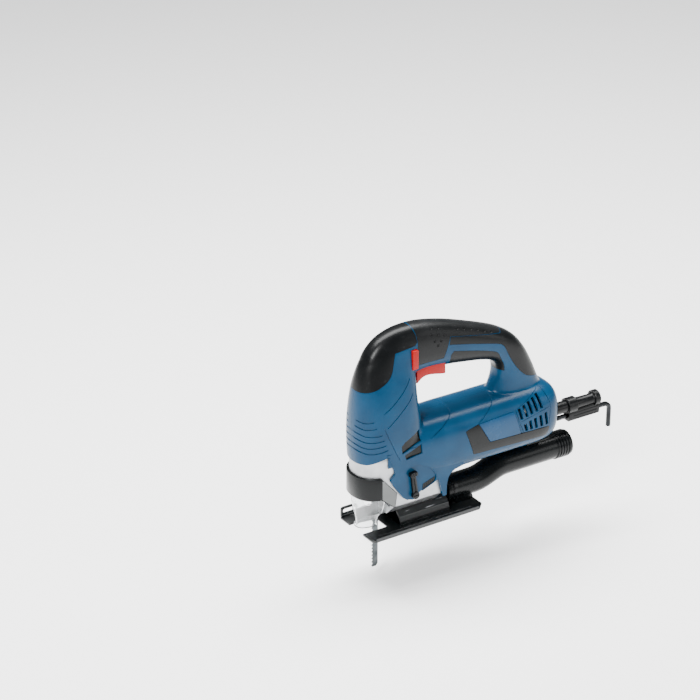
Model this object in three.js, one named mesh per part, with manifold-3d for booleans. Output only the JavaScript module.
// A corded jigsaw with a bow handle, in millimetres.
// X runs along the tool towards the cord, Y to the operator's right, Z up.
// The origin is the middle of the footplate's underside, which slides on the work.
import * as THREE from "three";
import { mergeVertices } from "three/addons/utils/BufferGeometryUtils.js";
import Module from "manifold-3d";

const wasm = await Module();
wasm.setup();

// ---------------------------------------------------------------- driving dimensions
const GAP = 0.3; // between pieces that touch
const WALL = 2.8; // plastic shell
const SKIN = 2.5; // rubber grips
const BAND_SKIN = 1.2; // trim and rating plates, let into the shell

const SOLE = { length: 147, width: 69, thick: 2.6, rim: 5, rimThick: 2, slotHalf: 13, slotRear: -40 };
const ARCH = { outer: 22, wall: 2.5, front: -28, rear: 36 }; // the footplate's tilting saddle
const TILT_CLEAR = 0.5;
const SOLE_REAR = 75;
const SOLE_FRONT = SOLE_REAR - SOLE.length;
// holds a guide rod
const LOOP = { front: SOLE_FRONT, long: 18, top: 14.6, y: SOLE.width / 2 - 3.5, thick: 2.2 };

const BARREL = { front: -25, rear: 176, z: 86.5, halfWidth: 34, halfHeight: 36 };
const HEAD = { halfWidth: 31, caseHalfWidth: 28.5 };
const HANDLE = { halfWidth: 17 };

const MOTOR_Z = BARREL.z;
const SHAFT_R = 4;
const BEARING_BORE = SHAFT_R + 0.2;
const SHAFT = { front: -13.8, rear: 147 };
const CORE = { front: 38, rear: 88, radius: 17, windingLength: 9, windingRadius: 13.5 };
const BARREL_INSIDE = Math.min(BARREL.halfWidth, BARREL.halfHeight) - WALL;
const FIELD = { radius: BARREL_INSIDE - 2.9, airGap: 0.6, windingLength: 8 };
const FAN = { front: 10, rear: 21, radius: 23.8, blades: 7, hub: 7 };
const COMMUTATOR = { front: 100, rear: 119, radius: 11.5 };
const BRUSH = {
  halfX: 4.5,
  halfZ: 3.5,
  outer: FIELD.radius - 1.3,
  holderInner: COMMUTATOR.radius + 5.5,
  holderWall: 2,
};
const REAR_BEARING = { front: 138, rear: 146, radius: 9.5 };
const FRONT_BEARING = { front: -11, rear: -3, radius: 11 };

const GEAR = { module: 1.2, teeth: 38, pinionTeeth: 7, front: -25, rear: -17, toothShare: 0.4, tip: 0.85 };
const CENTRE_DISTANCE = (GEAR.module * (GEAR.teeth + GEAR.pinionTeeth)) / 2;
const GEAR_TIP = GEAR.module * (GEAR.teeth / 2 + GEAR.tip);
const GEAR_Z = MOTOR_Z + CENTRE_DISTANCE;
const AXLE_R = 3.5;
const CRANK = { throw: 13, pin: 3, slotClear: 0.3 }; // the stroke is twice the throw
const PLUNGER = { x: -48, radius: 5.5, top: 164, bottom: 46 };
const BUSH_WALL = 2.44;
const BUSH_BORE = PLUNGER.radius + 0.06;
const BUSH = { radius: BUSH_BORE + BUSH_WALL, bore: BUSH_BORE, lower: [67, 75], upper: [147, 157] };
const CLAMP_WALL = 2.5;
const CLAMP_RADIUS = PLUNGER.radius + CLAMP_WALL;
const CLAMP = { radius: CLAMP_RADIUS, bottom: 38, top: 52, room: CLAMP_RADIUS + 2.5, roomTop: 66 };

const BLADE = { thick: 1.3, front: -52, rear: -44, top: 49, tip: -51, toothPitch: 4.2, toothDepth: 1.6 };
const ROLLER = { radius: 5.5, z: 18, halfWidth: 3, pin: 1.5, clear: 0.3 };
const ROLLER_X = BLADE.rear + ROLLER.clear + ROLLER.radius;
const FORK = { x: -34, z: 47, pin: 2, halfWidth: 5.5, arm: 2.1 };
const SELECTOR = { x: -17, z: 42.5, tipX: -20.7, tipZ: 70.8, shaft: 3, boss: 4.4 };
const RELEASE = { x: -46, z: 41, clear: 0.5, thick: 2.2, pin: 2 };
const PIPE = { radius: 14.5, wall: 2, rise: 10.4, front: 40.5, rear: 208, bendFrom: 80, bendTo: 122 };
const PIPE_FRONT_Z = SOLE.thick + GAP + 0.2 + PIPE.radius;
const PIPE_REAR_Z = PIPE_FRONT_Z + PIPE.rise;
const SLEEVE_Z = BARREL.z - 0.375 * BARREL.halfHeight;
const SLEEVE = { z: SLEEVE_Z, front: 166.5, rear: 247, lip: 2.2, frontRadius: 7.4, taper: 1.6, bore: 4 };
const KEY = { across: 5, z: SLEEVE_Z - 12.5, tip: 194, elbow: 268, drop: 31, clear: 0.41 };
const KEY_RADIUS = KEY.across / Math.sqrt(3);
const TRIGGER_TRAVEL = 6;
const LOCK_TRAVEL = 3;

// ---------------------------------------------------------------- solids from three.js geometry
// Makes a manifold-3d solid from a closed geometry, turned right side out.
function solid(geometry) {
  const bare = geometry.index ? geometry.toNonIndexed() : geometry.clone();
  const merged = mergeVertices(
    new THREE.BufferGeometry().setAttribute("position", bare.getAttribute("position")),
    1e-4,
  );
  const position = merged.attributes.position.array;
  const kept = [];
  let volume = 0;
  const a = new THREE.Vector3();
  const b = new THREE.Vector3();
  const c = new THREE.Vector3();
  for (let i = 0; i < merged.index.count; i += 3) {
    const [p, q, r] = [0, 1, 2].map((k) => merged.index.array[i + k]);
    if (p === q || q === r || p === r) continue;
    a.fromArray(position, p * 3);
    b.fromArray(position, q * 3);
    c.fromArray(position, r * 3);
    volume += a.dot(b.cross(c));
    kept.push(p, q, r);
  }
  if (volume < 0) {
    for (let i = 0; i < kept.length; i += 3) [kept[i + 1], kept[i + 2]] = [kept[i + 2], kept[i + 1]];
  }
  return new wasm.Manifold(
    new wasm.Mesh({ numProp: 3, vertProperties: position, triVerts: new Uint32Array(kept) }),
  );
}

const join = (first, ...rest) => rest.reduce((whole, piece) => whole.add(piece), first);
const cut = (first, ...tools) => tools.reduce((whole, tool) => whole.subtract(tool), first);
const common = (first, second) => first.intersect(second);

// A box between two values on each axis.
function block([x0, x1], [y0, y1], [z0, z1]) {
  const box = new THREE.BoxGeometry(x1 - x0, y1 - y0, z1 - z0);
  return solid(box.translate((x0 + x1) / 2, (y0 + y1) / 2, (z0 + z1) / 2));
}

// A round bar along X, Y or Z. centre holds the other two coordinates in X, Y, Z order.
function bar(axis, radius, [from, to], centre, sides = 20, endRadius = radius) {
  const shape = new THREE.CylinderGeometry(endRadius, radius, to - from, sides);
  shape.translate(0, (from + to) / 2, 0);
  if (axis === "x") shape.rotateZ(-Math.PI / 2).translate(0, centre[0], centre[1]);
  if (axis === "y") shape.translate(centre[0], 0, centre[1]);
  if (axis === "z") shape.rotateX(Math.PI / 2).translate(centre[0], centre[1], 0);
  return solid(shape);
}

// A turned piece about the X axis: its profile holds [x, radius] points and closes on itself or on the axis.
function turned(profile, sides = 28) {
  const points = profile.map(([x, r]) => new THREE.Vector2(r, x));
  points.push(points[0].clone());
  return solid(new THREE.LatheGeometry(points, sides).rotateZ(-Math.PI / 2));
}

const extrusion = (shape, depth) =>
  new THREE.ExtrudeGeometry(shape, { depth, bevelEnabled: false, curveSegments: 8 });
const outline = (points) => new THREE.Shape(points.map(([x, z]) => new THREE.Vector2(x, z)));

// A slab with an X-Z outline, between two values of Y.
function slab(shape, [y0, y1]) {
  const geometry = extrusion(shape, y1 - y0);
  return solid(geometry.rotateX(Math.PI / 2).translate(0, y1, 0));
}

// A slab with a Y-Z outline, between two values of X.
function slabX(shape, [x0, x1]) {
  const geometry = extrusion(shape, x1 - x0);
  geometry.applyMatrix4(
    new THREE.Matrix4().makeBasis(
      new THREE.Vector3(0, 1, 0),
      new THREE.Vector3(0, 0, 1),
      new THREE.Vector3(1, 0, 0),
    ),
  );
  return solid(geometry.translate(x0, 0, 0));
}

// A slab with an X-Y outline, between two values of Z.
function slabZ(shape, [z0, z1]) {
  const geometry = extrusion(shape, z1 - z0);
  return solid(geometry.translate(0, 0, z0));
}

// A closed skin over rings of points that all have the same number of points.
function skin(rings) {
  const count = rings[0].length;
  const middle = (ring) => ring.reduce((sum, p) => sum.add(p), new THREE.Vector3()).divideScalar(count);
  const position = [];
  const triangle = (...corners) => corners.forEach((p) => position.push(p.x, p.y, p.z));
  for (let i = 0; i + 1 < rings.length; i++) {
    for (let k = 0; k < count; k++) {
      const next = (k + 1) % count;
      triangle(rings[i][k], rings[i][next], rings[i + 1][next]);
      triangle(rings[i][k], rings[i + 1][next], rings[i + 1][k]);
    }
  }
  const first = middle(rings[0]);
  const last = middle(rings.at(-1));
  for (let k = 0; k < count; k++) {
    const next = (k + 1) % count;
    triangle(first, rings[0][next], rings[0][k]);
    triangle(last, rings.at(-1)[k], rings.at(-1)[next]);
  }
  const corners = new THREE.Float32BufferAttribute(position, 3);
  return solid(new THREE.BufferGeometry().setAttribute("position", corners));
}

// One point of a superellipse, the round-cornered section of a moulding.
function rounded(turn, halfA, halfB, power) {
  const c = Math.cos(turn);
  const s = Math.sin(turn);
  return [
    halfA * Math.sign(c) * Math.abs(c) ** (2 / power),
    halfB * Math.sign(s) * Math.abs(s) ** (2 / power),
  ];
}

// ---------------------------------------------------------------- outer form of the body
// Motor barrel: sections along X, [x, half width, half height].
const BARREL_SECTIONS = [
  [BARREL.front, BARREL.halfWidth - 4, BARREL.halfHeight - 3],
  [20, BARREL.halfWidth, BARREL.halfHeight],
  [BARREL.rear - 36, BARREL.halfWidth, BARREL.halfHeight],
  [BARREL.rear - 12, BARREL.halfWidth - 2, BARREL.halfHeight - 2],
  [BARREL.rear - 3, BARREL.halfWidth - 6, BARREL.halfHeight - 6],
  [BARREL.rear, BARREL.halfWidth - 11, BARREL.halfHeight - 11],
];

function barrelForm(inset, count = 20) {
  const rings = BARREL_SECTIONS.map(([x, halfWidth, halfHeight], i) => {
    const end = i === BARREL_SECTIONS.length - 1 ? -inset : 0;
    return Array.from({ length: count }, (_, k) => {
      const [y, z] = rounded((k / count) * 2 * Math.PI, halfWidth - inset, halfHeight - inset, 2.9);
      return new THREE.Vector3(x + end, y, BARREL.z + z);
    });
  });
  return skin(rings);
}

// Gear head and neck: sections along Z, [z, front x, rear x, half width].
const HEAD_SECTIONS = [
  [82, -76.5, 2, HEAD.halfWidth],
  [125, -78, 0, HEAD.halfWidth - 0.3],
  [148, -77, -3.5, HEAD.halfWidth - 2.5],
  [168, -75, -4.5, HEAD.halfWidth - 6],
  [184, -71.5, -4.5, HEAD.halfWidth - 9.5],
  [198, -66, -2, HEAD.halfWidth - 12],
  [210, -58, 6, HEAD.halfWidth - 14],
  [219, -47, 12, HEAD.halfWidth - 17],
];

// A section with a round nose in front and a squarer back.
function nosePlan(front, rear, halfWidth, z, count = 20) {
  const noseLength = Math.min(36, (rear - front) * 0.55);
  const centre = front + noseLength;
  return Array.from({ length: count }, (_, k) => {
    const turn = (k / count) * 2 * Math.PI;
    const back = Math.cos(turn) > 0;
    const [x, y] = rounded(turn, back ? rear - centre : noseLength, halfWidth, back ? 3.6 : 2.3);
    return new THREE.Vector3(centre + x, y, z);
  });
}

function headForm(inset, count = 20) {
  return skin(
    HEAD_SECTIONS.map(([z, front, rear, halfWidth], i) => {
      const end = i === HEAD_SECTIONS.length - 1 ? -inset : 0;
      return nosePlan(front + inset, rear - inset, halfWidth - inset, z + end, count);
    }),
  );
}

// Bow handle: pairs of points on its outer and inner lines, [outer x, outer z, inner x, inner z].
const HANDLE_PAIRS = [
  [-66, 196, -24, 150],
  [-60.5, 209, -15, 162],
  [-47.5, 221.5, -7, 168.5],
  [-30, 228.7, 2, 171.6],
  [-10, 231, 12, 172.8],
  [12, 229, 24, 172.6],
  [40, 222.5, 41, 171.4],
  [66, 214, 60, 169],
  [92, 204.5, 80, 166],
  [112, 195.5, 93, 162.8],
  [128, 184.5, 101, 158.5],
  [141, 168.5, 105.5, 152],
  [151, 150, 106, 143],
  [160, 130, 103.5, 135],
  [167, 112, 98, 123],
  [170, 96, 92, 106],
];

function handleForm(inset, count = 16) {
  return skin(
    HANDLE_PAIRS.map(([x0, z0, x1, z1]) => {
      const length = Math.hypot(x0 - x1, z0 - z1);
      const up = [(x0 - x1) / length, (z0 - z1) / length];
      return Array.from({ length: count }, (_, k) => {
        const turn = (k / count) * 2 * Math.PI;
        const [rise, y] = rounded(turn, length / 2 - inset, HANDLE.halfWidth - inset, 2.5);
        return new THREE.Vector3((x0 + x1) / 2 + up[0] * rise, y, (z0 + z1) / 2 + up[1] * rise);
      });
    }),
  );
}

// The skirt that covers the sides of the gear case and carries the levers.
const SKIRT = [
  [-52, 97], [-46.5, 73], [-48, 67], [-31.5, 42], [-25, 36.8], [-14, 36.2], [-10, 42.5], [14, 52],
  [19.5, 28], [25, 28], [26, 47], [31, 53], [42, 57], [42, 100], [-52, 100],
];
const skirtForm = () => slab(outline(SKIRT), [-HEAD.halfWidth, HEAD.halfWidth]);

// The nose edge slopes up towards the sides, where the gear case shows below it.
const NOSE_EDGE = [[-90, 60], [-90, 91], [-76, 92], [-52, 97.3], [-52, 60]];

function bodyForm(inset, count) {
  const head = cut(headForm(inset, count), slab(outline(NOSE_EDGE), [-50, 50]));
  return join(head, barrelForm(inset, count), handleForm(inset, count));
}

// ---------------------------------------------------------------- regions of the grips and trim
const FRONT_GRIP = [
  [-100, 171], [-77, 171], [-66, 172], [-54, 176], [-44, 183], [-38.5, 193], [-34.5, 209], [-8, 212],
  [-6, 222], [-13, 245], [-100, 245],
];
const TOP_GRIP = [
  [-5, 187], [29.5, 187], [35.5, 210.5], [104, 195], [111.5, 200.5], [118, 245], [-12.5, 245],
  [-5.5, 222], [-5, 212],
];
const REAR_GRIP = [
  [34, 200], [40, 199.6], [78, 190.6], [103, 184], [108, 180], [119, 158], [131, 142.5], [141, 136],
  [158, 131], [190, 128], [190, 215], [118.6, 245], [112, 200.2], [104.2, 194.5], [36.2, 209.8],
];
const LOWER_GRIP = [
  [36, 188], [39, 192.5], [70, 184.5], [97, 176], [103, 166], [111, 150], [104, 150], [98, 155], [36, 160],
];
const SIDE_BAND = [[46.7, 101], [64, 104.5], [78.5, 79.5], [160, 76], [157.5, 64.5], [58, 70]];
const RATING_PLATE = [[64.6, 104.5], [111, 106.5], [120.5, 78.2], [79, 79.9]];

const prism = (points, y = [-60, 60]) => slab(outline(points), y);

// Grows an outline about its own middle by a distance, enough to leave a thin gap around an inlay.
function grown(points, by) {
  const shape = outline(points);
  const geometry = new THREE.ExtrudeGeometry(shape, {
    depth: 118,
    bevelSize: by,
    bevelThickness: 0.5,
    bevelSegments: 1,
  });
  return solid(geometry.rotateX(Math.PI / 2).translate(0, 59, 0));
}

// ---------------------------------------------------------------- materials
const finish = (color, roughness, metalness = 0) =>
  new THREE.MeshStandardMaterial({ color, roughness, metalness });
const bluePlastic = finish(0x1c5a8c, 0.45);
const rubber = finish(0x1b1d1e, 0.75);
const blackPlastic = finish(0x18191b, 0.4);
const redPlastic = finish(0xd8261c, 0.4);
const castAluminium = finish(0xb4b6b8, 0.45, 0.9);
const steel = finish(0x8f9296, 0.3, 1);
const blackSteel = finish(0x1d1f21, 0.45, 0.6);
const copper = finish(0xa8643a, 0.4, 1);
const clearPlastic = new THREE.MeshStandardMaterial({
  color: 0xe6eef0,
  roughness: 0.1,
  transparent: true,
  opacity: 0.35,
});

// ---------------------------------------------------------------- the tool and its pieces
const tool = new THREE.Group();

// Adds a piece to a group as a named mesh.
function piece(name, shape, material, group = tool) {
  const mesh = shape.getMesh();
  const geometry = new THREE.BufferGeometry()
    .setAttribute("position", new THREE.BufferAttribute(new Float32Array(mesh.vertProperties), 3))
    .setIndex(new THREE.BufferAttribute(new Uint32Array(mesh.triVerts), 1));
  geometry.computeVertexNormals();
  const made = new THREE.Mesh(geometry, material);
  made.name = name;
  group.add(made);
  return made;
}

// ------------------------------------------------ gear case, an aluminium casting
const CASE_SECTIONS = [
  [45, -73.5, HEAD.caseHalfWidth - 1.5],
  [60, -75, HEAD.caseHalfWidth],
  [90, -75, HEAD.caseHalfWidth],
  [93, -74, HEAD.halfWidth - WALL - GAP],
  [148, -73.5, HEAD.halfWidth - WALL - 2.5 - GAP],
  [158, -71, HEAD.halfWidth - WALL - 5 - GAP],
];
const CASE_BACK = -8;
const CASE_SIDE = HEAD.caseHalfWidth - 1;
const FOOT = { front: -42, rear: 22, bottom: 17.2, flat: 12, slope: 32.5, top: 62 };
const CHAMBER_CLEAR = 1.4; // beside the large gear
const CHAMBER = [
  [MOTOR_Z - 10.5, GEAR_TIP + CHAMBER_CLEAR],
  [GEAR_Z + 2.5, GEAR_TIP + CHAMBER_CLEAR],
  [GEAR_Z + 32.5, GEAR_TIP - 2.8],
];
const MOUTH = { radius: 25.5, z: MOTOR_Z + 7 };
const EAR_INNER = CASE_SIDE - 6.5; // the ears that carry the blade release lever
const SADDLE_SCREW = { x: 10, radius: 2.5, head: 4.2, top: 31 };

// The case inside its part of the head, grown by a clearance for the room in the shells.
function caseNose(by) {
  const rings = CASE_SECTIONS.map(([z, front, halfWidth]) =>
    nosePlan(front - by, -1.1 + by, halfWidth + by, z > 150 ? z + by : z),
  );
  return cut(skin(rings), block([CASE_BACK + by, 20], [-50, 50], [0, 200]));
}

function gearCase() {
  const nose = caseNose(0);
  const foot = slabX(
    outline([
      [-CASE_SIDE, FOOT.top], [-CASE_SIDE, FOOT.slope], [-FOOT.flat, FOOT.bottom],
      [FOOT.flat, FOOT.bottom], [CASE_SIDE, FOOT.slope], [CASE_SIDE, FOOT.top],
    ]),
    [FOOT.front, FOOT.rear],
  );
  const chamberForm = skin(CHAMBER.map(([z, halfWidth]) => nosePlan(-68, 0, halfWidth, z, 16)));
  const chamber = cut(chamberForm, block([-12, 20], [-50, 50], [0, 200]));
  const ear = slab(
    outline([
      [RELEASE.x - 4.6, 48], [RELEASE.x - 4.6, RELEASE.z - 1.5], [RELEASE.x - 1.5, RELEASE.z - 4.5],
      [FOOT.front + 1, RELEASE.z - 4.5], [FOOT.front + 1, 48],
    ]),
    [-CASE_SIDE, CASE_SIDE],
  );
  return cut(
    join(nose, foot, cut(ear, block([-60, 0], [-EAR_INNER, EAR_INNER], [30, 60]))),
    bar("x", ARCH.outer + TILT_CLEAR, [-50, 40], [0, 0], 40),
    chamber,
    bar("x", MOUTH.radius, [-20, 10], [0, MOUTH.z], 28),
    block([-26, 18], [-23.5, 23.5], [34, 60]),
    bar("z", BUSH.radius + GAP, [60, 160], [PLUNGER.x, 0]),
    bar("z", CLAMP.room, [30, CLAMP.roomTop], [PLUNGER.x, 0]),
    block([-46, -28.5], [-FORK.halfWidth - 0.6, FORK.halfWidth + 0.6], [10, 54]),
    bar("y", SELECTOR.shaft + 0.15, [-40, -20], [SELECTOR.x, SELECTOR.z]),
    bar("y", FORK.pin + 0.1, [-16.5, 16.5], [FORK.x, FORK.z], 12),
    bar("y", RELEASE.pin + 0.2, [-40, -25], [RELEASE.x, RELEASE.z], 12),
    bar("y", RELEASE.pin + 0.2, [25, 40], [RELEASE.x, RELEASE.z], 12),
    bar("z", SADDLE_SCREW.radius + GAP, [10, 33], [SADDLE_SCREW.x, 0], 12),
  );
}
piece("gear_case", gearCase(), castAluminium);

// Cover between the gear chamber and the motor: it holds the front bearing and the gear's axle.
const coverPlate = cut(
  bar("x", MOUTH.radius - GAP, [-11.7, -2.7], [0, MOUTH.z], 28),
  bar("x", FRONT_BEARING.radius + GAP, [FRONT_BEARING.front, 0], [0, MOTOR_Z]),
  bar("x", SHAFT_R + 1, [-20, 0], [0, MOTOR_Z]),
  bar("x", AXLE_R + GAP, [-20, 0], [0, GEAR_Z], 16),
);
piece("gear_cover", coverPlate, castAluminium);
piece("gear_axle", bar("x", AXLE_R, [GEAR.front - 2, -3], [0, GEAR_Z], 16), steel);

function ring(axis, outerRadius, innerRadius, span, centre, sides = 20) {
  const hole = [span[0] - 1, span[1] + 1];
  return cut(bar(axis, outerRadius, span, centre, sides), bar(axis, innerRadius, hole, centre, sides));
}
piece("lower_bush", ring("z", BUSH.radius, BUSH.bore, BUSH.lower, [PLUNGER.x, 0]), copper);
piece("upper_bush", ring("z", BUSH.radius, BUSH.bore, BUSH.upper, [PLUNGER.x, 0]), copper);

// ------------------------------------------------ drive
// A spur gear outline with straight-sided teeth, one tooth at the given angle.
function gearOutline(teeth, firstTooth) {
  const pitch = (GEAR.module * teeth) / 2;
  const root = pitch - 1.15 * GEAR.module;
  const tip = pitch + GEAR.tip * GEAR.module;
  const corners = [[root, -0.3], [tip, -0.12], [tip, 0.12], [root, 0.3]];
  const points = [];
  for (let tooth = 0; tooth < teeth; tooth++) {
    for (const [radius, offset] of corners) {
      const turn = firstTooth + ((tooth + offset * 2 * GEAR.toothShare) / teeth) * 2 * Math.PI;
      points.push([radius * Math.cos(turn), radius * Math.sin(turn)]);
    }
  }
  return outline(points);
}
function spurGear(teeth, firstTooth, bore, span) {
  const shape = gearOutline(teeth, firstTooth);
  if (bore) shape.holes.push(new THREE.Path().absarc(0, 0, bore, 0, 2 * Math.PI));
  return slabX(shape, span);
}

const gearGroup = new THREE.Group();
gearGroup.position.z = GEAR_Z;
tool.add(gearGroup);
const motor = new THREE.Group();
motor.position.z = MOTOR_Z;
tool.add(motor);

// The large gear has a tooth pointing straight down; the pinion has a gap pointing straight up.
const driveGear = cut(
  spurGear(GEAR.teeth, -Math.PI / 2, AXLE_R + 0.4, [GEAR.front, GEAR.rear]),
  ring("x", 19, 8.5, [GEAR.front - 1, GEAR.front + 2.5], [0, 0]),
);
piece("drive_gear", driveGear, steel, gearGroup);
piece(
  "pinion",
  spurGear(GEAR.pinionTeeth, Math.PI / 2 + Math.PI / GEAR.pinionTeeth, 0, [GEAR.front - 0.5, -14.1]),
  steel,
  motor,
);

const armature = join(
  bar("x", SHAFT_R, [SHAFT.front, SHAFT.rear], [0, 0]),
  bar("x", CORE.radius, [CORE.front, CORE.rear], [0, 0], 24),
  bar("x", CORE.windingRadius, [CORE.front - CORE.windingLength, CORE.rear + CORE.windingLength], [0, 0], 24),
);
piece("armature", armature, steel, motor);
piece(
  "commutator",
  ring("x", COMMUTATOR.radius, SHAFT_R + GAP, [COMMUTATOR.front, COMMUTATOR.rear], [0, 0], 24),
  copper,
  motor,
);

const fanBlade = (turn) => {
  const geometry = new THREE.BoxGeometry(FAN.rear - FAN.front, 1.4, FAN.radius - FAN.hub + 1);
  geometry.rotateX(0.35).translate((FAN.front + FAN.rear) / 2, 0, (FAN.radius + FAN.hub) / 2);
  return solid(geometry.rotateX(turn));
};
const fan = join(
  ring("x", FAN.hub, SHAFT_R + GAP, [FAN.front, FAN.rear], [0, 0], 16),
  ring("x", FAN.radius - 1, FAN.hub - 1, [FAN.rear - 1.6, FAN.rear], [0, 0], 16),
  ...Array.from({ length: FAN.blades }, (_, k) => fanBlade((k / FAN.blades) * 2 * Math.PI)),
);
piece("fan", fan, blackPlastic, motor);

piece(
  "field_core",
  ring("x", FIELD.radius, CORE.radius + FIELD.airGap, [CORE.front, CORE.rear], [0, 0], 28),
  steel,
  motor,
);
const winding = (span) => ring("x", FIELD.radius - 3, CORE.radius + 1, span, [0, 0], 20);
piece("field_winding_front", winding([CORE.front - FIELD.windingLength, CORE.front - GAP]), copper, motor);
piece("field_winding_rear", winding([CORE.rear + GAP, CORE.rear + FIELD.windingLength]), copper, motor);
for (const [name, bearing] of [["front_bearing", FRONT_BEARING], ["rear_bearing", REAR_BEARING]]) {
  piece(name, ring("x", bearing.radius, BEARING_BORE, [bearing.front, bearing.rear], [0, 0]), steel, motor);
}

const BRUSH_X = (COMMUTATOR.front + COMMUTATOR.rear) / 2;
function brush(side, grow, [from, to]) {
  const y = side > 0 ? [from, to] : [-to, -from];
  return block(
    [BRUSH_X - BRUSH.halfX - grow, BRUSH_X + BRUSH.halfX + grow],
    y,
    [-BRUSH.halfZ - grow, BRUSH.halfZ + grow],
  );
}
for (const [name, side] of [["left", -1], ["right", 1]]) {
  piece("brush_" + name, brush(side, 0, [COMMUTATOR.radius + 0.4, BRUSH.outer]), blackPlastic, motor);
  const holder = cut(
    brush(side, GAP + BRUSH.holderWall, [BRUSH.holderInner, BRUSH.outer + 2]),
    brush(side, GAP, [0, BRUSH.outer + GAP]),
  );
  piece("brush_holder_" + name, holder, copper, motor);
}

// ------------------------------------------------ plunger, blade and pendulum roller
const YOKE_REAR = GEAR.front - 4;
const YOKE_FRONT = YOKE_REAR - 12;
const yokeHalf = CRANK.throw + CRANK.pin + 4;
const yoke = cut(
  block([YOKE_FRONT, YOKE_REAR], [-yokeHalf, yokeHalf], [GEAR_Z - 6.5, GEAR_Z + 6.5]),
  block(
    [YOKE_FRONT - 1, YOKE_REAR + 1],
    [-yokeHalf + 3, yokeHalf - 3],
    [GEAR_Z - CRANK.pin - CRANK.slotClear, GEAR_Z + CRANK.pin + CRANK.slotClear],
  ),
);
const rod = join(
  bar("z", PLUNGER.radius, [PLUNGER.bottom, PLUNGER.top], [PLUNGER.x, 0]),
  block([PLUNGER.x, YOKE_FRONT + 1], [-4, 4], [GEAR_Z - 6, GEAR_Z + 6]),
);
piece("plunger", join(rod, yoke), steel);
piece("crank_pin", bar("x", CRANK.pin, [YOKE_FRONT + 1, GEAR.front - GAP], [CRANK.throw, GEAR_Z], 16), steel);

const clampBody = cut(
  bar("z", CLAMP.radius, [CLAMP.bottom, CLAMP.top], [PLUNGER.x, 0]),
  bar("z", PLUNGER.radius + 0.2, [PLUNGER.bottom - GAP, CLAMP.top + 1], [PLUNGER.x, 0]),
  block([BLADE.front - GAP, BLADE.rear + GAP], [-BLADE.thick / 2 - 0.2, BLADE.thick / 2 + 0.2], [30, 46]),
);
piece("blade_clamp", clampBody, steel);

function bladeOutline() {
  const points = [[BLADE.rear, 45.4], [BLADE.rear, BLADE.tip + 3], [BLADE.rear - 2, BLADE.tip]];
  const first = BLADE.front + BLADE.toothDepth;
  points.push([BLADE.front + 1, BLADE.tip]);
  for (let z = BLADE.tip + 1; z < 4; z += BLADE.toothPitch) {
    points.push([BLADE.front, z + 0.4], [first, z + 1.8], [first, z + BLADE.toothPitch - 0.6]);
  }
  points.push([BLADE.front, 8], [BLADE.front, 45.4]);
  return outline(points);
}
piece("blade", slab(bladeOutline(), [-BLADE.thick / 2, BLADE.thick / 2]), steel);

const forkSide = outline([
  [FORK.x + 3.5, 50], [FORK.x - 3.5, 50], [FORK.x - 3.5, 30], [ROLLER_X - 3.3, ROLLER.z + 2],
  [ROLLER_X - 3.3, ROLLER.z - 3.5], [ROLLER_X + 3.2, ROLLER.z - 3.5], [FORK.x + 0.5, 27], [FORK.x + 3.5, 32],
]);
const inner = FORK.halfWidth - FORK.arm;
const fork = cut(
  slab(forkSide, [-FORK.halfWidth, FORK.halfWidth]),
  block([-60, -20], [-inner, inner], [0, 38]),
  bar("y", FORK.pin + 0.06, [-10, 10], [FORK.x, FORK.z], 12),
  bar("y", ROLLER.pin + 0.2, [-10, 10], [ROLLER_X, ROLLER.z], 12),
);
piece("roller_fork", fork, steel);
piece("fork_pin", bar("y", FORK.pin, [-16, 16], [FORK.x, FORK.z], 12), steel);
piece("roller_pin", bar("y", ROLLER.pin, [-FORK.halfWidth, FORK.halfWidth], [ROLLER_X, ROLLER.z], 12), steel);
const ROLLER_SPAN = [-ROLLER.halfWidth, ROLLER.halfWidth];
const rollerWheel = cut(
  ring("y", ROLLER.radius, ROLLER.pin + 0.15, ROLLER_SPAN, [ROLLER_X, ROLLER.z], 24),
  ring("y", 9, ROLLER.radius - 1, [-BLADE.thick / 2 - 0.3, BLADE.thick / 2 + 0.3], [ROLLER_X, ROLLER.z], 24),
);
piece("guide_roller", rollerWheel, steel);

// ------------------------------------------------ housing shells
const SKIRT_INNER = CASE_SIDE + GAP;
const caseRoom = join(
  caseNose(GAP),
  block([-90, FOOT.rear + GAP], [-SKIRT_INNER, SKIRT_INNER], [10, FOOT.top + GAP]),
);
const gripRegions = [FRONT_GRIP, TOP_GRIP, REAR_GRIP, LOWER_GRIP];
const gripPockets = gripRegions.map((region) => prism(region)).reduce((all, region) => all.add(region));
const TRIM = [...SIDE_BAND.slice(0, 2), RATING_PLATE[1], RATING_PLATE[2], ...SIDE_BAND.slice(3)];
const trimPocket = cut(grown(TRIM, GAP), barrelForm(BAND_SKIN + GAP));

const TRIGGER = [
  [-3.5, 183], [33.6, 183], [34.2, 165.5], [22, 168], [10, 169.6], [3, 168.2], [-1.7, 165.5], [-3.5, 166],
];
const TRIGGER_HALF = 12.5;
const triggerRoom = block(
  [-4, 34.7],
  [-TRIGGER_HALF - 0.5, TRIGGER_HALF + 0.5],
  [160, 183 + TRIGGER_TRAVEL + 1],
);
const LOCK = { x: [-14, -6.6], z: [185, 207], y: [-20.8, -11] };
const lockRoom = block(
  [LOCK.x[0] - 0.4, LOCK.x[1] + 0.4],
  [-40, LOCK.y[1] + LOCK_TRAVEL + 0.5],
  [LOCK.z[0] - 0.4, LOCK.z[1] + 0.4],
);
const switchBody = { x: [2, 33], y: [-9.5, 9.5], z: [191, 209] };

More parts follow.
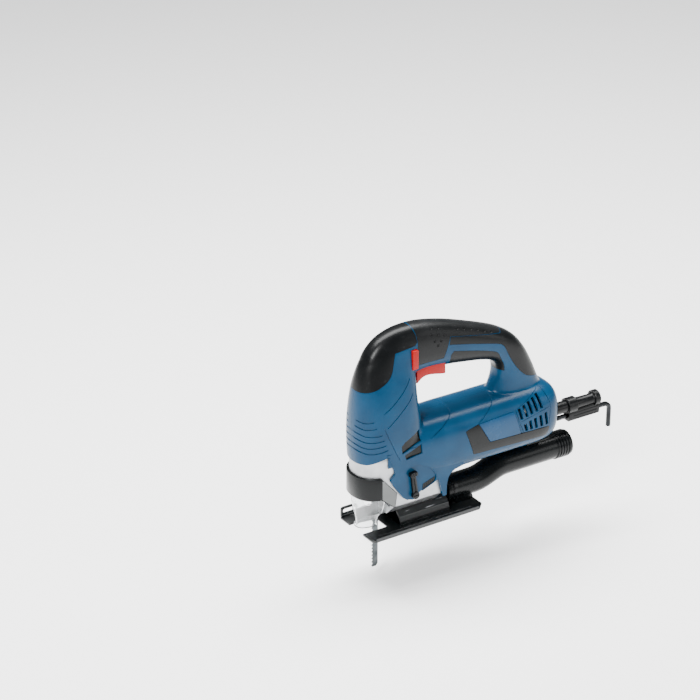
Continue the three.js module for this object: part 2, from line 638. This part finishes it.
// Air inlets at the back, in two slanting rows, and outlets on the neck.
const INLET = { rows: 2, columns: 5, pitch: 6.8, width: 3.6, lean: 2.6 };
function inlet(row, column) {
  const x = (row ? 119.2 : 126.2) + column * INLET.pitch;
  const low = row ? 94.6 + column * 1.5 : 79;
  const high = row ? 107.2 + column * 2.3 : 87.6 + column * 1.6;
  return prism([
    [x, low], [x + INLET.width, low + 0.4],
    [x + INLET.width - INLET.lean, high + 0.8], [x - INLET.lean, high],
  ]);
}
const inlets = Array.from({ length: INLET.rows * INLET.columns }, (_, i) =>
  inlet(i % INLET.rows, Math.floor(i / INLET.rows)),
).reduce((all, one) => all.add(one));
const outlets = join(
  prism([[-33, 95.5], [-34, 105], [-10.5, 117], [-9, 104]]),
  prism([[-28.5, 87.5], [-30.5, 93.5], [-9, 100.8], [-8.5, 90]]),
);
const outletFloor = HEAD.halfWidth - WALL + 1;
const outletRecess = join(
  common(outlets, block([-40, 0], [-40, -outletFloor], [80, 120])),
  common(outlets, block([-40, 0], [outletFloor, 40], [80, 120])),
);

// Ribs inside the barrel that hold the field core and the rear bearing, and bosses for the screws.
const rib = ([x0, x1], radius) =>
  cut(
    block([x0, x1], [-40, 40], [BARREL.z - BARREL.halfHeight, BARREL.z + BARREL.halfHeight]),
    bar("x", radius, [x0 - 1, x1 + 1], [0, MOTOR_Z], 28),
  );
const SCREW = { head: 3.2, shank: 1.9, seat: 6, end: -8, boss: 5.4 };
// the first boss clears the rod at the top of its stroke
const FRONT_SCREW_X = PLUNGER.x - PLUNGER.radius - SCREW.boss - 2.1;
const SCREWS = [[FRONT_SCREW_X, 172], [-24, 210], [66, 191], [122, 172], [158, 112], [156, 61]];
const screwHoles = ([x, z]) =>
  join(
    bar("y", SCREW.shank + GAP, [SCREW.end - GAP, 30], [x, z], 8),
    bar("y", SCREW.head + GAP, [SCREW.seat, 60], [x, z], 8),
  );
const all = (shapes) => shapes.reduce((whole, one) => whole.add(one));
const inside = all([
  rib([CORE.front + 2, CORE.front + 5], FIELD.radius + GAP),
  rib([CORE.rear - 5, CORE.rear - 2], FIELD.radius + GAP),
  rib([REAR_BEARING.front + 1, REAR_BEARING.rear - 1], REAR_BEARING.radius + GAP),
  ...SCREWS.map(([x, z]) => bar("y", SCREW.boss, [-40, 40], [x, z], 8)),
]);

// Recess beside the selector lever, where it swings.
const swingRoom = slab(
  outline([[-26, 34], [-28, 76], [-16, 78], [4, 72], [11, 56], [-8, 43.5], [-10, 34]]),
  [-60, -HEAD.halfWidth + 1.3],
);

const headHollow = cut(headForm(WALL + SKIN, 12), block([-90, 20], [-50, 50], [0, 120]));
const hollow = join(barrelForm(WALL, 16), headHollow, handleForm(WALL + SKIN, 12));
const outside = join(cut(bodyForm(0), gripPockets), bodyForm(SKIN));
const shells = cut(
  join(outside, skirtForm()),
  cut(hollow, inside),
  caseRoom,
  trimPocket,
  triggerRoom,
  lockRoom,
  inlets,
  outletRecess,
  swingRoom,
  bar("x", MOUTH.radius, [-12, -2], [0, MOUTH.z], 28),
  bar("x", SLEEVE.frontRadius + 0.4, [160, 190], [0, SLEEVE.z], 20),
  bar("y", SELECTOR.shaft + 0.4, [-40, 0], [SELECTOR.x, SELECTOR.z], 16),
  ...SCREWS.map(screwHoles),
);
const leftSide = block([-200, 300], [-60, -0.15], [-60, 300]);
const rightSide = block([-200, 300], [0.15, 60], [-60, 300]);
const biggest = (shape) => shape.decompose().sort((a, b) => b.volume() - a.volume())[0];
piece("housing_left", biggest(common(shells, leftSide)), bluePlastic);
piece("housing_right", biggest(common(shells, rightSide)), bluePlastic);
SCREWS.forEach(([x, z], i) => {
  const screw = join(
    bar("y", SCREW.shank, [SCREW.end, SCREW.seat + 1], [x, z], 8),
    bar("y", SCREW.head, [SCREW.seat + GAP, SCREW.seat + 3], [x, z], 8),
  );
  piece("housing_screw_" + (i + 1), screw, steel);
});

// ------------------------------------------------ grips and trim
const gripSkin = cut(bodyForm(0), bodyForm(SKIN - GAP), ...SCREWS.map(screwHoles));
const gripPiece = (region, ...tools) => biggest(cut(common(gripSkin, prism(region)), ...tools));
const SEAM = slab(outline([[-5.8, 175], [-4.8, 187], [-4.8, 213], [-5.6, 222], [-12.5, 245], [-13.2, 245],
  [-6.4, 222], [-5.6, 212], [-5.6, 187], [-8, 175]]), [-60, 60]);
piece("front_grip", gripPiece(FRONT_GRIP, lockRoom, SEAM), rubber);
piece("top_grip", gripPiece(TOP_GRIP, lockRoom, SEAM), rubber);
piece("rear_grip", gripPiece(REAR_GRIP), rubber);
piece("lower_grip", gripPiece(LOWER_GRIP), rubber);

const trimSkin = cut(barrelForm(-0.4), barrelForm(BAND_SKIN));
for (const [side, half] of [["left", leftSide], ["right", rightSide]]) {
  piece("side_band_" + side, biggest(common(common(trimSkin, prism(SIDE_BAND)), half)), blackPlastic);
  piece("rating_plate_" + side, biggest(common(common(trimSkin, prism(RATING_PLATE)), half)), bluePlastic);
}

// ------------------------------------------------ controls
piece("trigger", slab(outline(TRIGGER), [-TRIGGER_HALF, TRIGGER_HALF]), redPlastic);
piece("lock_button", block(LOCK.x, LOCK.y, LOCK.z), redPlastic);
piece("switch_module", block(switchBody.x, switchBody.y, switchBody.z), blackPlastic);

const leverY = [-HEAD.halfWidth - 2.6, -HEAD.halfWidth + 1];
const selector = join(
  bar("y", SELECTOR.shaft, [-22, leverY[1]], [SELECTOR.x, SELECTOR.z], 16),
  bar("y", SELECTOR.boss, [leverY[0] - 0.8, leverY[1]], [SELECTOR.x, SELECTOR.z], 16),
  slab(
    outline([
      [SELECTOR.x - 3, SELECTOR.z], [SELECTOR.x + 3, SELECTOR.z],
      [SELECTOR.tipX + 2.6, SELECTOR.tipZ], [SELECTOR.tipX - 2.6, SELECTOR.tipZ],
    ]),
    leverY,
  ),
  slab(
    outline([
      [SELECTOR.tipX - 4, SELECTOR.tipZ - 4], [SELECTOR.tipX + 4.5, SELECTOR.tipZ - 3],
      [SELECTOR.tipX + 4, SELECTOR.tipZ + 1], [SELECTOR.tipX - 4.5, SELECTOR.tipZ],
    ]),
    [leverY[0] - 2, leverY[1]],
  ),
);
piece("selector_lever", selector, blackPlastic);

const releaseRing = (grow) => [30, 75].map((z) =>
  nosePlan(-75 - RELEASE.clear - grow, -8, HEAD.caseHalfWidth + RELEASE.clear + grow, z));
const releaseSide = [
  [-90, 46.5], [-90, 67], [-66, 69], [-57.9, 71], [-39.6, 51.3], [-42.2, 33.5], [-57.9, 46.5],
];
const releasePin = (y) => bar("y", RELEASE.pin, y, [RELEASE.x, RELEASE.z], 12);
const release = join(
  common(cut(skin(releaseRing(RELEASE.thick)), skin(releaseRing(0))), prism(releaseSide)),
  releasePin([-30, -25.4]),
  releasePin([25.4, 30]),
);
piece("blade_release_lever", release, blackPlastic);

const GUARD_SECTIONS = [
  [5.5, -71, 9], [13, -71.3, 9.3], [27, -72, 20.5], [44.6, -73, 26],
];
const guardForm = (inset) => skin(
  GUARD_SECTIONS.map(([z, front, halfWidth], i) => {
    const past = inset ? [-3, 0, 0, 3][i] : 0;
    return nosePlan(front + inset, -38, halfWidth - inset, z + past, 20);
  }),
);
const guard = cut(guardForm(0), guardForm(1.6), block([-52, 0], [-40, 40], [0, 60]));
piece("chip_guard", guard, clearPlastic);

// ------------------------------------------------ footplate
const half = SOLE.width / 2;
const soleOutline = outline([
  [SOLE_REAR, half - 8], [SOLE_REAR - 8, half], [SOLE_FRONT + 3, half], [SOLE_FRONT, half - 4],
  [SOLE_FRONT, SOLE.slotHalf],
  [SOLE.slotRear, SOLE.slotHalf], [SOLE.slotRear, -SOLE.slotHalf], [SOLE_FRONT, -SOLE.slotHalf],
  [SOLE_FRONT, 4 - half], [SOLE_FRONT + 3, -half], [SOLE_REAR - 8, -half], [SOLE_REAR, 8 - half],
]);
const rimBar = (side) => block(
  [SOLE_FRONT + 4, SOLE_REAR - 9],
  side > 0 ? [half - SOLE.rimThick, half] : [-half, SOLE.rimThick - half],
  [SOLE.thick - 1, SOLE.rim],
);
const arch = cut(
  bar("x", ARCH.outer, [ARCH.front, ARCH.rear], [0, 0], 36),
  bar("x", ARCH.outer - ARCH.wall, [ARCH.front - 1, ARCH.rear + 1], [0, 0], 36),
  block([-60, 60], [-40, 40], [-40, 1]),
  block(
    [SADDLE_SCREW.x - 3.2, SADDLE_SCREW.x + 3.2],
    [-12.4, 12.4],
    [10, 30],
  ),
);
const guideLoop = cut(
  block([LOOP.front, LOOP.front + LOOP.long], [LOOP.y - LOOP.thick, LOOP.y], [SOLE.thick - 1, LOOP.top]),
  block([LOOP.front + 2.4, LOOP.front + LOOP.long - 2.4], [0, 60], [SOLE.thick + 1.6, LOOP.top - 2.4]),
);
const footplate = cut(
  join(slabZ(soleOutline, [0, SOLE.thick]), rimBar(1), rimBar(-1), arch, guideLoop),
  bar("z", 6.5, [-5, 5], [SADDLE_SCREW.x, 0], 16),
);
piece("footplate", footplate, blackSteel);

const clampRadius = ARCH.outer - ARCH.wall - GAP;
const saddleClamp = cut(
  bar("x", clampRadius, [SADDLE_SCREW.x - 8, SADDLE_SCREW.x + 8], [0, 0], 36),
  block([SADDLE_SCREW.x - 9, SADDLE_SCREW.x + 9], [-8, 8], [0, 15]),
  block([SADDLE_SCREW.x - 9, SADDLE_SCREW.x + 9], [8, 30], [0, 30]),
  block([SADDLE_SCREW.x - 9, SADDLE_SCREW.x + 9], [-30, -8], [0, 30]),
  block([SADDLE_SCREW.x - 9, SADDLE_SCREW.x + 9], [-30, 30], [-30, 1]),
  bar("z", SADDLE_SCREW.radius + GAP, [0, 40], [SADDLE_SCREW.x, 0], 12),
);
piece("saddle_clamp", saddleClamp, steel);
const saddleScrew = join(
  bar("z", SADDLE_SCREW.radius, [12, SADDLE_SCREW.top], [SADDLE_SCREW.x, 0], 12),
  bar("z", SADDLE_SCREW.head, [10.5, 15 - GAP], [SADDLE_SCREW.x, 0], 6),
);
piece("saddle_screw", saddleScrew, steel);

// ------------------------------------------------ dust pipe
function pipeForm(radius, past) {
  const stations = [];
  const bend = 4;
  stations.push([PIPE.front - past, PIPE_FRONT_Z]);
  for (let i = 0; i <= bend; i++) {
    const share = i / bend;
    const ease = share * share * (3 - 2 * share);
    stations.push([
      PIPE.bendFrom + share * (PIPE.bendTo - PIPE.bendFrom),
      PIPE_FRONT_Z + ease * PIPE.rise,
    ]);
  }
  stations.push([PIPE.rear + past, PIPE_REAR_Z]);
  return skin(stations.map(([x, z]) => Array.from({ length: 16 }, (_, k) => {
    const turn = (k / 16) * 2 * Math.PI;
    return new THREE.Vector3(x, radius * Math.cos(turn), z + radius * Math.sin(turn));
  })));
}
const BARREL_BOTTOM = BARREL.z - BARREL.halfHeight;
const pipeHook = block([119, 129], [-4, 4], [PIPE_REAR_Z + PIPE.radius - 2.5, BARREL_BOTTOM - 0.9]);
const pipeFoot = block([50, 73], [-12.5, 12.5], [SOLE.thick + GAP, 14]);
const pipeRings = Array.from({ length: 3 }, (_, i) =>
  bar("x", PIPE.radius + 1.2, [PIPE.rear - 18 + i * 6, PIPE.rear - 15 + i * 6], [0, PIPE_REAR_Z], 16));
piece("dust_pipe", cut(join(pipeForm(PIPE.radius, 0), pipeHook, pipeFoot, ...pipeRings),
  pipeForm(PIPE.radius - PIPE.wall, 1)), blackPlastic);

// ------------------------------------------------ cord sleeve, key holder and key
const SLEEVE_LIP = SLEEVE.frontRadius + SLEEVE.lip;
const SLEEVE_END = SLEEVE.frontRadius - SLEEVE.taper;
const sleeve = turned([
  [SLEEVE.front, SLEEVE.bore], [SLEEVE.front, SLEEVE_LIP], [SLEEVE.front + 4, SLEEVE_LIP],
  [SLEEVE.front + 4, SLEEVE.frontRadius], [183, SLEEVE.frontRadius], [SLEEVE.rear - 5, SLEEVE_END],
  [SLEEVE.rear - 5, SLEEVE_END + 0.9], [SLEEVE.rear, SLEEVE_END + 0.9], [SLEEVE.rear, SLEEVE.bore],
], 20);
const sleeveGroup = new THREE.Group();
sleeveGroup.position.z = SLEEVE.z;
tool.add(sleeveGroup);
piece("cord_sleeve", sleeve, rubber, sleeveGroup);

const HOLDER = { front: 206, rear: 250, clip: 12, half: 5, wall: 2 };
const CLIP_INNER = SLEEVE.frontRadius - 0.2; // the sleeve is slimmer where the holder clips on
const KEY_BORE = KEY_RADIUS + KEY.clear;
const HOLDER_BOTTOM = KEY.z - KEY_BORE - HOLDER.wall;
const clipBar = ([x0, x1]) =>
  join(
    bar("x", CLIP_INNER + HOLDER.wall, [x0, x1], [0, SLEEVE.z], 20),
    block([x0, x1], [-HOLDER.half, HOLDER.half], [KEY.z, SLEEVE.z]),
  );
const keyHolder = cut(
  join(
    clipBar([HOLDER.front, HOLDER.front + HOLDER.clip]),
    clipBar([HOLDER.rear - HOLDER.clip / 2, HOLDER.rear]),
    block(
      [HOLDER.front, HOLDER.rear],
      [-HOLDER.half, HOLDER.half],
      [HOLDER_BOTTOM, SLEEVE.z - CLIP_INNER - 0.5],
    ),
  ),
  bar("x", CLIP_INNER, [HOLDER.front - 5, HOLDER.rear + 10], [0, SLEEVE.z], 20),
  bar("x", KEY_BORE, [HOLDER.front - 5, HOLDER.rear + 10], [0, KEY.z], 16),
);
piece("key_holder", keyHolder, rubber);
const hexKey = join(
  bar("x", KEY_RADIUS, [KEY.tip, KEY.elbow + KEY_RADIUS * 0.8], [0, KEY.z], 6),
  bar("z", KEY_RADIUS, [KEY.drop, KEY.z + KEY_RADIUS * 0.8], [KEY.elbow, 0], 6),
);
piece("hex_key", hexKey, steel);

export default tool;
